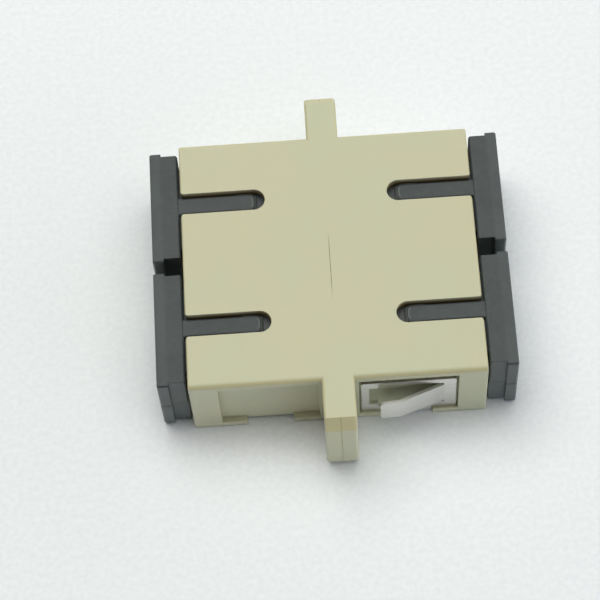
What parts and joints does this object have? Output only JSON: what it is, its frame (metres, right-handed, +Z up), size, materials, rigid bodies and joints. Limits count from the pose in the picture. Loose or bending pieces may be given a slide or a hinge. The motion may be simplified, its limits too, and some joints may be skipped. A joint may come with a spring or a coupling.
{
  "type": "duplex fibre adapter",
  "caption": "Flanged duplex adapter that joins push-pull fibre connectors through a panel, with a spring clip and dust caps that pull off.",
  "frame": {"origin": "middle of the underside, on the joint between the two half shells", "axes": "+X along the fibres towards the half with the panel clip, +Y along the flange, +Z up towards the keyways"},
  "size_m": [0.0332, 0.0346, 0.0092],
  "materials": {
    "housing": "fine matte moulding, beige",
    "latch": "matte moulding, pale",
    "sleeve": "polished zirconia",
    "panel_clip": "stamped stainless spring steel",
    "dust_cap": "matte soft plastic, dark grey"
  },
  "bodies": {
    "housing": {"housing_right": "housing", "housing_left": "housing", "panel_clip": "panel_clip", "sleeve_front": "sleeve", "latch_right_front": "latch", "latch_left_front": "latch", "sleeve_back": "sleeve", "latch_right_back": "latch", "latch_left_back": "latch"},
    "dust_cap_right_front_body": {"dust_cap_right_front": "dust_cap"},
    "dust_cap_right_back_body": {"dust_cap_right_back": "dust_cap"},
    "dust_cap_left_front_body": {"dust_cap_left_front": "dust_cap"},
    "dust_cap_left_back_body": {"dust_cap_left_back": "dust_cap"}
  },
  "joints": [
    {"name": "dust_cap_right_front_pull", "type": "slide", "parent": "housing", "child": "dust_cap_right_front_body", "axis": [1, 0, 0], "range_m": [0, 0.015]},
    {"name": "dust_cap_right_back_pull", "type": "slide", "parent": "housing", "child": "dust_cap_right_back_body", "axis": [1, 0, 0], "range_m": [0, 0.015]},
    {"name": "dust_cap_left_front_pull", "type": "slide", "parent": "housing", "child": "dust_cap_left_front_body", "axis": [-1, 0, 0], "range_m": [0, 0.015]},
    {"name": "dust_cap_left_back_pull", "type": "slide", "parent": "housing", "child": "dust_cap_left_back_body", "axis": [-1, 0, 0], "range_m": [0, 0.015]}
  ]
}
